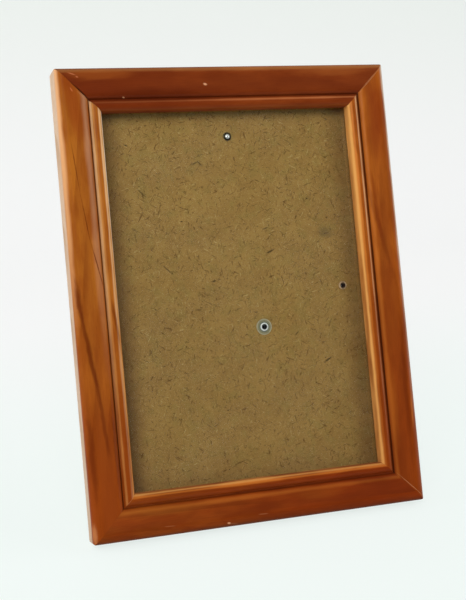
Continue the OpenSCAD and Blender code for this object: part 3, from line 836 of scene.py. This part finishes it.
def plate(outline, low, high, edge=0.15, holes=()):
    """Walls and two filled faces of a plate, as (a, b, depth) points. The wall's inset is
    edge * (1 - sin) and its height edge * (1 - cos) through a quarter turn at each face, with
    a narrow flat hem inside it that keeps the face's shading flat. Outlines run anticlockwise
    and round holes clockwise, and a triangle with all its corners on one hole is left out."""
    turn = np.linspace(0, math.pi / 2, 4)
    rolled, hem = edge * (1 - np.sin(turn)), [edge + hem_w]
    inset = np.concatenate([hem, rolled, rolled[::-1], hem])
    drop = edge * (1 - np.cos(turn))
    depth = np.concatenate([[low], low + drop, high - drop[::-1], [high]])
    parts, rims = [], []
    for loop in (outline, *holes):
        rows = np.stack([np.column_stack([drawn_in(loop, step), np.full(len(loop), level)])
                         for step, level in zip(inset, depth)])
        parts.append(grid(rows, ring=True))
        rims.append(rows[0, :, :2])
    starts = np.cumsum([0] + [len(rim) for rim in rims]).tolist()
    edges = [(start + step, start + (step + 1) % len(rim))
             for start, rim in zip(starts, rims) for step in range(len(rim))]
    corners = [Vector(point) for rim in rims for point in rim]
    inside_outline = 1
    flat = delaunay_2d_cdt(corners, edges, [], inside_outline, same_spot)
    spots = np.array([list(point) for point in flat[0]])
    hole_ranges = list(zip(starts[1:], starts[2:]))
    filled = [list(face) for face in flat[2]
              if not any(first <= min(face) and max(face) < end for first, end in hole_ranges)]
    for level in (low, high):
        parts.append((np.column_stack([spots, np.full(len(spots), level)]), filled))
    return parts


def laid(parts, order=(0, 2, 1), move=(0, 0, 0)):
    """Parts with their (a, b, depth) points put in another order of axes, then moved."""
    return [(part[0][:, list(order)] + move, part[1]) for part in parts]


def rod_outline(centre, radius, steps=24, clockwise=False):
    """A circle as an outline, or as a hole when it runs clockwise."""
    loop = arc(centre, radius, 0, 2 * math.pi, steps + 1)[:-1]
    return loop[::-1] if clockwise else loop


square = np.array([(0, 0), (4, 0), (4, 4), (0, 4)], float)
print("a 4 mm square drawn in by 1 mm spans", np.ptp(drawn_in(square, 1.0), axis=0).round(2), "mm")

# %% [markdown]
# Rivets, eyelets, washers, pins and screws are round, and come off a header or a lathe. Each
# is one profile turned about its axis. Blender's Screw modifier would turn it as well, and
# numpy does it in a line, with room for a second formula: the rear rim of a set eyelet is
# split into petals by the tool that turns it over.


# %% Turned parts
def revolve(profile, middle=(0, 0, 0), steps=48, petals=0, petal_depth=0.0):
    """A (radius, depth) profile turned about an axis along y: x = r cos a, z = r sin a. With
    petals, the rear rim is notched that often, the more the further out: (r / R - 0.6) / 0.4."""
    radius, depth = np.asarray(profile, float).T
    angle = np.linspace(0, 2 * math.pi, steps, endpoint=False)
    rim = (np.clip((radius / radius.max() - 0.6) / 0.4, 0, 1) * (depth > depth.mean()))[:, None]
    notch = petal_depth * np.abs(np.cos(petals * angle / 2)) ** 12 if petals else 0 * angle
    reach = radius[:, None] - rim * notch[None, :]
    points = np.stack([reach * np.cos(angle), np.broadcast_to(depth[:, None], reach.shape),
                       reach * np.sin(angle)], -1)
    return grid(points + np.asarray(middle, float), ring=True)


print("a two-point profile turned in 48 steps has", len(revolve([(1, 0), (1, 1)])[1]), "faces")

# %% [markdown]
# Hardware on such a frame is thin steel, plated bright against rust. One grey metal would do
# from afar, but plating copies every small unevenness of the steel below, so its roughness
# is uneven too, and it dulls where fingers and damp have been. The eyelet and the rivets are
# nickel plated and a little warmer and smoother, the hinge pin is bare drawn wire, and the
# corner nails are dull. The rivets have aged each in its own way. A zone colours what lies
# within a radius of an axis: inside the eyelet and the side rivet it is painted dark as the
# shade in their bores, and the top rivet's middle is polished bright.


# %% Plated and bare metal
def metal(name, bright, dull, roughness, seed, metallic=1.0, zones=(), specular=0.5):
    """Bright and dull metal mixed by a slow noise, and roughness by a finer one. Each zone
    is ((x, z), radius, colour): the colour inside that radius of an axis along y."""
    plating = Finish(name)
    where = plating.place(move=(seed, 0, 0))
    patches = plating.noise(plating.stretch(where, 4, 4, 4), detail=5, roughness=0.65)
    fine = plating.noise(plating.stretch(where, 0.6, 0.6, 0.6), detail=4)
    uneven = plating.fade(fine, 0.3, 0.7, roughness - 0.08, roughness + 0.12)
    colour = plating.mix(plating.fade(patches, 0.42, 0.68), bright, dull)
    for (x, z), radius, inside in zones:
        flat = plating.stretch(plating.place(move=(-x, 0, -z)), 1, math.inf, 1)
        far = plating.node("VectorMath", {0: flat}, operation="LENGTH").outputs["Value"]
        ragged = plating.math("ADD", far, plating.math("MULTIPLY", fine, 0.2))
        colour = plating.mix(plating.fade(ragged, radius + 0.2, radius), colour, inside)
    return plating.surface(base_color=colour, metallic=metallic, roughness=uneven,
                           specular_ior_level=specular, normal=plating.bump(fine, 0.02, 0.4))


board_t, strap_t, strap_w = 3.2, 0.7, 7.0
top_hanger = np.array([0.5, -board_recess, outer_h - rail_w - 11.5])
side_hanger = np.array([sight_w / 2 - 8.0, -board_recess, outer_h / 2])
# the first colour is painted shade for the insides of bores, the second the top rivet's polished metal
bore_shade, glint = paint(12, 14, 12), paint(255, 255, 252)
plated = metal("zinc_plated_steel", paint(196, 199, 201), paint(150, 150, 146), 0.30, 12)
nickel = metal("nickel_plate", paint(214, 214, 208), paint(168, 166, 156), 0.24, 57)
eyelet_at, top_at, side_at = swivel_seen[[0, 2]], top_hanger[[0, 2]], side_hanger[[0, 2]]
# the bore and the web inside the eyelet are painted near black as their shade
eyelet_nickel = metal("nickel_eyelet", paint(255, 255, 255), paint(232, 236, 230), 0.38, 41, 0.3,
                      [(eyelet_at, 1.30, bore_shade)], 0.1)
washer_zinc = metal("dulled_zinc", paint(188, 180, 150), paint(158, 146, 112), 0.45, 77, 0.3,
                    [(eyelet_at, 3.25, paint(150, 142, 108)), (eyelet_at, 2.5, paint(124, 130, 112))], 0.2)
top_rivet = metal("bright_rivet", paint(96, 82, 48), paint(52, 44, 26), 0.28, 23, 1.0,
                  [(top_at, 1.05, glint)])
# the side rivet's bore and inner rim are painted dark as their shade
side_rivet = metal("dark_rivet", paint(196, 166, 130), paint(112, 82, 50), 0.5, 65, 0.1,
                   [(side_at, 1.30, paint(62, 38, 26))], 0.1)
bare_steel = metal("drawn_steel", paint(150, 150, 150), paint(104, 98, 92), 0.36, 91)
dull_steel = metal("dull_nail_steel", paint(116, 112, 106), paint(78, 66, 56), 0.5, 133)
nails = dressed("corner_nails", dull_steel)

# %% [markdown]
# The strut swivels on a hollow eyelet: a thin tube set through a washer, the hardboard and
# the hinge plate, with a rolled rim in front and a rim turned over on the back, split into
# petals. Two smaller hollow rivets hold the hangers. Each could be cut out of cylinders, but
# one profile turned about the axis shows how such a tube is really shaped. No light comes
# through the eyelet, so a web closes its bore, and web and bore are painted black as their
# shade. The top rivet's bore holds a polished dome.


# %% Eyelet, washer and hollow rivets
def tube_profile(bore, shank, front, front_y, rear, rear_y):
    """A closed profile: up the bore, out over the rolled front rim, down the shank's outside
    and out and back over the rear rim. front and rear are (radius, thickness)."""
    def rim(size, level, way):
        """A rolled rim: half a circle of half its thickness, at its outer edge."""
        half = size[1] / 2
        roll = arc((size[0] - half, level + way * half), half, -math.pi / 2, math.pi / 2, 9)
        return roll if way > 0 else roll[::-1]
    lip = 0.18
    front_lip = [(bore, front_y - front[1] + 2 * lip), (bore + 0.3 * lip, front_y - front[1] + 0.6 * lip),
                 (bore + lip, front_y - front[1])]
    rear_lip = [(bore + lip, rear_y + rear[1]), (bore + 0.3 * lip, rear_y + rear[1] - 0.6 * lip),
                (bore, rear_y + rear[1] - 2 * lip)]
    front_rim = rim(front, front_y, -1)[::-1]
    rear_rim = rim(rear, rear_y, 1)
    profile = [*front_lip, *front_rim, (shank, front_y), (shank, rear_y), *rear_rim, *rear_lip]
    return np.array(profile + profile[:1])


slit, leaf_t, washer_t = 0.1, 0.9, 0.3
eyelet_bore, eyelet_hole_r, overlap, web_y, web_t = 1.15, 1.55, 0.02, 0.4, 0.3
eyelet = tube_profile(bore=eyelet_bore, shank=1.5, front=(1.9, 0.4), front_y=-board_t - washer_t,
                      rear=(2.6, 0.4), rear_y=slit + leaf_t + slit)
web_r = eyelet_bore + overlap
web = np.array([(0, web_y), (web_r, web_y), (web_r, web_y + web_t), (0, web_y + web_t)])
eyelet_parts = [revolve(eyelet, swivel_seen, 72, petals=6, petal_depth=0.5), revolve(web, swivel_seen, 72)]
piece("swivel_eyelet_set", eyelet_parts, eyelet_nickel, "frame", ["swivel_eyelet"])

washer_r, half_t = 3.75, washer_t / 2
washer_edge = arc((washer_r - half_t, -board_t - half_t), half_t, -math.pi / 2, math.pi / 2, 7)
washer_hole = [(eyelet_hole_r, -board_t), (eyelet_hole_r, -board_t - washer_t)]
washer = revolve(np.array([*washer_hole, *washer_edge, washer_hole[0]]), swivel_seen, 64)
piece("swivel_washer_pressed", [washer], washer_zinc, "frame", ["swivel_washer"])

small_rivet = tube_profile(bore=0.9, shank=1.2, front=(2.0, 0.4), front_y=-board_t,
                           rear=(1.8, 0.35), rear_y=2 * strap_t)
dome_r, dome_edge_r, dome_edge_angle, dome_crest, dome_back = 1.4, 0.95, -47.3, -3.55, -2.9
cap = arc((0, dome_crest + dome_r), dome_r, math.radians(dome_edge_angle), -math.pi / 2, 9)
dome = np.array([(0, dome_back), (dome_edge_r, dome_back), *cap])
small_rivets = {"top_hanger_rivet": (top_hanger, top_rivet, [dome]),
                "side_hanger_rivet": (side_hanger, side_rivet, [])}
for name, (middle, finish, fillings) in small_rivets.items():
    parts = [revolve(small_rivet, middle, 60, petals=5, petal_depth=0.3)]
    parts += [revolve(filling, middle, 60) for filling in fillings]
    piece(name + "_set", parts, finish, "frame", [name])

# %% [markdown]
# The hinge has an upper plate that turns on the eyelet and a lower leaf riveted to the strut.
# Both end in knuckles. Tubes would do for those, but real ones are the sheet itself curled
# round the pin, so they show a seam where the curl comes back to the plate. The lower leaf
# reaches a little above the pin: this heel meets the upper plate when the strut is open, and
# stops it. It is all drawn with the strut folded flat, and the strut's side is then opened.

# %% Hinge on the bench, strut folded
open_angle, pin_drop = 32.0, 10.0
pin_r, knuckle_r, running, clear_y = 0.9, 1.8, 0.05, 0.1
pin_y = slit + knuckle_r + clear_y
pin = swivel_seen + np.array([0, pin_y, -pin_drop])
plate_half, knuckle_half, knuckle_gap = 12.0, 5.9, 0.2


def curl(x0, x1, start, end):
    """A knuckle between x0 and x1: part of a ring as thick as the sheet, from one angle to
    another round the pin, drawn in y and z, with its edges rolled."""
    outer = arc((0, 0), knuckle_r, math.radians(start), math.radians(end), 30)
    inner = arc((0, 0), pin_r + running, math.radians(end), math.radians(start), 30)
    return laid(plate(np.concatenate([outer, inner]), x0, x1, 0.1), (2, 0, 1))


notch_x, notch_z = knuckle_half + knuckle_gap, 1.78
crown_r, crown_start, curl_start, curl_end = 9.0, -20, 180, 437
crown = arc((0, pin_drop), crown_r, math.radians(crown_start), math.radians(180 - crown_start), 40)
plate_outline = np.concatenate([[(plate_half, 0.0)], crown, [(-plate_half, 0.0), (-notch_x, 0.0),
                                (-notch_x, notch_z), (notch_x, notch_z), (notch_x, 0.0)]])
eyelet_hole = rod_outline((0, pin_drop), eyelet_hole_r, clockwise=True)
upper = laid(plate(plate_outline, slit - pin_y, slit + leaf_t - pin_y, 0.15, [eyelet_hole]))
upper += curl(-plate_half, -notch_x, curl_start, curl_end)
upper += curl(notch_x, plate_half, curl_start, curl_end)
upper = [(points + pin, faces) for points, faces in upper]
piece("swivel_plate_curled", upper, plated, "swivel", ["swivel_plate"])

# %% Hinge pin
pin_end, peened_r, peened_h = plate_half + running, 1.35, 0.5
head = arc((0, 0), peened_r, 0, math.pi / 2, 7) * (1, peened_h / peened_r) + (0, pin_end)
lower_head = (head[::-1] * (1, -1))[1:]
pin_profile = np.array([(0, -pin_end - peened_h), *lower_head, (pin_r, -pin_end), (pin_r, pin_end), *head])
pin_points, pin_faces = revolve(pin_profile, steps=32)
pin_parts = [(pin_points[:, [1, 0, 2]] + pin, pin_faces)]
piece("hinge_pin_peened", pin_parts, bare_steel, "swivel", ["hinge_pin"])

# %% Strut leaf and its rivets
opened = math.radians(open_angle)
heel = (pin_y - slit - leaf_t + (knuckle_r - leaf_t) * math.cos(opened) - running) / math.sin(opened)
leaf_low, leaf_neck, leaf_corner, shoulder = 16.0, 3.0, 3.0, 1.5
rivet_x, rivet_drop, rivet_r = 7.5, 10.5, 1.2
rivet_spots = [(-rivet_x, -rivet_drop), (rivet_x, -rivet_drop)]
lower_corners = ((-1, 180), (1, 270))    # which side, and at how many degrees its arc starts
corner_arcs = [arc((side * (plate_half - leaf_corner), leaf_corner - leaf_low), leaf_corner,
                   math.radians(start), math.radians(start + 90), 8) for side, start in lower_corners]
leaf_outline = np.concatenate([
    [(knuckle_half, heel), (-knuckle_half, heel), (-knuckle_half, -leaf_neck)],
    [(-plate_half, -leaf_neck - shoulder)], *corner_arcs,
    [(plate_half, -leaf_neck - shoulder), (knuckle_half, -leaf_neck)]])
rivet_holes = [rod_outline(spot, rivet_r, clockwise=True) for spot in rivet_spots]


def on_strut(parts):
    """Parts drawn about the pin with the strut folded, put in place and opened to the stop."""
    return [(turned(points + pin, open_angle, pin), faces) for points, faces in parts]


leaf = laid(plate(leaf_outline, knuckle_r - leaf_t, knuckle_r, 0.15, rivet_holes))
leaf += curl(-knuckle_half, knuckle_half, 0, curl_start - curl_end)
piece("strut_leaf_curled", on_strut(leaf), plated, "strut", ["strut_leaf"])

leaf_face, strut_back = knuckle_r - leaf_t, knuckle_r + board_t
set_r, set_h, round_r, round_h = 1.8, 0.5, 2.4, 0.9
set_head = arc((0, 0), set_r, 0, math.pi / 2, 6) * (1, set_h / set_r)
round_head = arc((0, 0), round_r, 0, math.pi / 2, 9) * (1, round_h / round_r)
front_head = (set_head[::-1] * (1, -1) + (0, leaf_face))[1:]
rivet_profile = np.array([(0, leaf_face - set_h), *front_head, (rivet_r, leaf_face),
                          (rivet_r, strut_back), *(round_head + (0, strut_back))])
strut_rivets = [revolve(rivet_profile, (x, 0, z), 32) for x, z in rivet_spots]
piece("strut_rivets_set", on_strut(strut_rivets), nickel, "strut", ["strut_rivets"])

# %% Strut, as long as it has to be for its foot to reach the floor
foot_height = back_chamfer * math.sin(lean)
pin_height = pin[2] * math.cos(lean) - pin[1] * math.sin(lean)
strut_slope = math.radians(open_angle) - lean
strut_len = (pin_height - foot_height + knuckle_r * math.sin(strut_slope)) / math.cos(strut_slope)
top_half, top_cut, foot_half, foot_r, strut_start = 15.0, 2.0, 22.0, 4.0, 2.5
foot_arcs = [arc((side * (foot_half - foot_r), foot_r - strut_len), foot_r, math.radians(start),
                 math.radians(start + 90), 10) for side, start in lower_corners]
strut_outline = np.concatenate([
    [(top_half - top_cut, -strut_start), (top_cut - top_half, -strut_start)],
    [(-top_half, -strut_start - top_cut)], *foot_arcs, [(top_half, -strut_start - top_cut)]])
strut_parts = laid(plate(strut_outline, knuckle_r, strut_back, 0.35, rivet_holes))
piece("strut_board", on_strut(strut_parts), strut_finish, "strut", ["strut"])
print("the strut is", round(strut_len, 1), "mm long below its pin")

# %% [markdown]
# Each hanger is a strip folded in half round the base of a triangular wire ring and riveted
# through both halves. The strip is a rectangle carried along the folded line: up the board,
# round the wire, down to the crimp and on along itself, with its ends cut round. The ring
# is a circle carried along a triangle with bent corners. A bevelled curve would draw either,
# but the strip's width changes along its path, and here its ends are a formula too.

# %% Folded strap
wire_r, fold_drop, crimp, strap_tail = 0.7, 6.5, 3.6, 3.7
fold_r = wire_r + running + strap_t
tail_rows, tail_start, halves_gap = 12, 0.02, 0.01


def strap_parts():
    """The fold's middle line in y and z, and at each point a cross section: half the width
    is strap_w / 2, or sqrt(strap_tail^2 - z^2) on the round tail, and the thickness strap_t
    is set off square to the line. Edges are drawn in a little at the two faces."""
    middle_r = fold_r - strap_t / 2
    tail = -strap_tail * np.cos(np.linspace(tail_start, math.pi / 2, tail_rows))
    rise = np.concatenate([tail, [2.0, fold_drop]])
    up = np.column_stack([np.full(len(rise), strap_t / 2), rise])
    over = arc((fold_r, fold_drop), middle_r, math.pi, 0, 17)[1:]
    back_y = 1.5 * strap_t + halves_gap
    share = np.linspace(0, 1, 10)[1:]
    ease = share * share * (3 - 2 * share)
    down = np.column_stack([over[-1, 0] + (back_y - over[-1, 0]) * ease, fold_drop - crimp * share])
    flat = np.column_stack([np.full(tail_rows, back_y), tail[::-1]])
    path = np.concatenate([up, over, down, flat])
    along = np.gradient(path, axis=0)
    along /= np.linalg.norm(along, axis=1)[:, None]
    normal = np.column_stack([along[:, 1], -along[:, 0]])
    low = np.minimum(path[:, 1], 0)
    half = np.minimum(strap_w / 2, np.sqrt(np.clip(strap_tail**2 - low**2, 0.01, None)))
    edge = np.array([(-1, -0.7), (-1, 0.7), (-0.97, 1), (0.97, 1),
                     (1, 0.7), (1, -0.7), (0.97, -1), (-0.97, -1)])
    x = half[:, None] * edge[None, :, 0]
    offset = strap_t / 2 * edge[None, :, 1]
    y = path[:, 0][:, None] + normal[:, 0][:, None] * offset
    z = path[:, 1][:, None] + normal[:, 1][:, None] * offset
    return closed(np.stack([x, y, z], -1))


# %% Wire ring
ring_half, ring_h, bend_r, wire_steps = 8.4, 14.5, 1.0, 16


def ring_parts(turn, steps=14):
    """A triangle with its corners bent to bend_r: each corner's arc touches both sides, and
    its centre is bend_r from both. A circle of the wire's radius is carried round it."""
    corners = np.array([(ring_half, 0.0), (0.0, ring_h), (-ring_half, 0.0)])
    path, inward = [], []
    for before, corner, after in zip(np.roll(corners, 1, 0), corners, np.roll(corners, -1, 0)):
        to_before = (before - corner) / np.linalg.norm(before - corner)
        to_after = (after - corner) / np.linalg.norm(after - corner)
        halfway = (to_before + to_after) / np.linalg.norm(to_before + to_after)
        half_angle = math.acos(float(to_before @ to_after)) / 2
        centre = corner + halfway * bend_r / math.sin(half_angle)
        first = centre - corner - to_before * ((centre - corner) @ to_before)
        last = centre - corner - to_after * ((centre - corner) @ to_after)
        start = math.atan2(-first[1], -first[0])
        sweep_angle = (math.atan2(-last[1], -last[0]) - start) % (2 * math.pi)
        bend = arc(centre, bend_r, start, start + sweep_angle, steps)
        path.append(bend)
        inward.append((centre - bend) / bend_r)
    path, inward = np.concatenate(path), np.concatenate(inward)
    angle = np.linspace(0, 2 * math.pi, wire_steps, endpoint=False)
    flat = path[:, None, :] + wire_r * np.cos(angle)[None, :, None] * inward[:, None, :]
    y = np.broadcast_to(wire_r * np.sin(angle), flat.shape[:2])
    points = np.stack([flat[..., 0], y, flat[..., 1]], -1)
    points, faces = grid(np.concatenate([points, points[:1]]), ring=True)
    base = np.array([0, fold_r, fold_drop])
    return [(turned(points + base, -turn, base), faces)]


def at_top_hanger(parts):
    """The top hanger is drawn upright about its rivet, so it is only moved there."""
    return [(points + top_hanger, faces) for points, faces in parts]


def at_side_hanger(parts):
    """The side hanger lies on its side: what points up on the top one points to the right."""
    return [(points[:, [2, 1, 0]] * (1, 1, -1) + side_hanger, faces) for points, faces in parts]


hangers = (("top", at_top_hanger, 180 - math.degrees(lean)), ("side", at_side_hanger, 90))
for name, put, turn in hangers:
    strap_node, ring_node = name + "_hanger_strap", name + "_hanger_ring"
    piece(strap_node + "_folded", put(strap_parts()), plated, "frame", [strap_node])
    piece(ring_node + "_bent", put(ring_parts(turn)), plated, name + "_ring", [ring_node])

# %% [markdown]
# Four turn buttons hold the hardboard in. Each is a drop-shaped plate, wide at its screw and
# narrow at its tip. The screw's head is a flat dome with a cross pressed into it. A cut with a
# cross would leave sharp edges, where a punch leaves rounded ones, so the cross is a depth
# that depends on the place across the head, on a dense grid in rings.

# %% Turn buttons
button_u, button_spread, button_t = 11.0, 58.0, 0.8
button_big, button_small, screw_r = 4.5, 2.8, 1.1


def drop_outline(reach):
    """Two circles and their common tangents: the tangent points lie at acos((R - r) / reach)
    from the line between the centres."""
    lean_in = math.acos((button_big - button_small) / reach)
    big = arc((0, 0), button_big, lean_in, 2 * math.pi - lean_in, 30)
    small = arc((reach, 0), button_small, -lean_in, lean_in, 18)
    return np.concatenate([big, small])


corners = {"upper_left": (-1, 1), "lower_left": (-1, -1), "upper_right": (1, 1), "lower_right": (1, -1)}
for name, (right, up) in corners.items():
    outline = drop_outline(button_u - button_small) * (-right, 1)
    outline = outline if right < 0 else outline[::-1]
    screw_hole = rod_outline((0, 0), screw_r + running, clockwise=True)
    button_at = (right * (sight_w / 2 + button_u), 0, outer_h / 2 + up * button_spread)
    parts = laid(plate(outline, slit, slit + button_t, 0.2, [screw_hole]), move=button_at)
    node = name + "_button"
    piece(node + "_pressed", parts, plated, node, [node])

# %% Screws with a cross in the head
head_r, head_h, cross_half, cross_w, cross_deep = 2.6, 1.3, 1.7, 0.35, 0.8
head_y, sphere_r = slit + button_t + slit, 1.7 * head_r
screw_deep, screw_point, tip_r = 9.0, 2.0, 0.2
head_rows, head_steps, side_slope, end_slope = 26, 64, 0.2, 0.5


def screw_parts(middle, turn):
    """Rings from the head's middle outwards, then down the shank to its point. The head is
    part of a sphere, less the cross: a smooth step down where the place, in the turned cross's
    own axes, is within cross_w of one arm and cross_half of the middle."""
    radius = np.linspace(0, head_r, head_rows)
    angle = np.linspace(0, 2 * math.pi, head_steps, endpoint=False)
    dome = head_h - sphere_r + np.sqrt(sphere_r**2 - radius**2)
    a = radius[:, None] * np.cos(angle + turn)[None, :]
    b = radius[:, None] * np.sin(angle + turn)[None, :]

    def arm(along, across):
        """1 inside an arm of the cross and 0 outside, with slopes for its sides and ends."""
        inside = np.clip((cross_w + side_slope / 2 - np.abs(across)) / side_slope, 0, 1)
        return inside * np.clip((cross_half - np.abs(along)) / end_slope, 0, 1)

    head = head_y + dome[:, None] - cross_deep * np.maximum(arm(a, b), arm(b, a))
    below = np.array([(head_r, head_y), (screw_r, head_y), (screw_r, screw_point - screw_deep),
                      (tip_r, -screw_deep), (0, -screw_deep)])
    reach = np.concatenate([np.broadcast_to(radius[:, None], head.shape),
                            np.broadcast_to(below[:, :1], (len(below), len(angle)))])
    depth = np.concatenate([head, np.broadcast_to(below[:, 1:], (len(below), len(angle)))])
    points = np.stack([reach * np.cos(angle), depth, reach * np.sin(angle)], -1)
    return grid(points + np.asarray(middle, float), ring=True)


screws = [screw_parts((right * (sight_w / 2 + button_u), 0, outer_h / 2 + up * button_spread), 0.35 + index)
          for index, (right, up) in enumerate(corners.values())]
piece("button_screws_crossed", screws, nickel, "frame", ["button_screws"])

# %% [markdown]
# Clear glass is almost nothing but its reflection: a few hundredths of the light at a right
# angle and much more at a slant. A mix of a clear and a mirror shader gives that, when its
# share follows the angle. It keeps the hardboard's light and shadow right, where true
# refraction would need far more samples. A trace of dust makes the pane show at all.

# %% Glass
glass = Finish("picture_glass")
where = glass.place()
by_angle = glass.node("Fresnel", {"IOR": 1.5}).outputs[0]
entering = glass.math("SUBTRACT", 1.0, glass.node("NewGeometry", {}).outputs["Backfacing"])
reflects = glass.math("MULTIPLY", glass.math("MULTIPLY", by_angle, 1.8), entering, clamp=True)
clear = glass.node("BsdfTransparent", {"Color": (0.985, 0.995, 0.99, 1)}).outputs[0]
mirror = glass.node("BsdfGlossy", {"Color": (1, 1, 1, 1), "Roughness": 0.03}).outputs[0]
pane_shader = glass.node("MixShader", {0: reflects, 1: clear, 2: mirror}).outputs[0]
film = glass.noise(glass.stretch(where, 30, 30, 22), detail=4, roughness=0.6)
dust = glass.node("BsdfDiffuse", {"Color": paint(226, 232, 236)}).outputs[0]
share = glass.fade(film, 0.3, 0.8, 0.002, 0.010)
pane_finish = glass.give(glass.node("MixShader", {0: share, 1: pane_shader, 2: dust}).outputs[0])
pane = dressed("glass_pane", pane_finish)
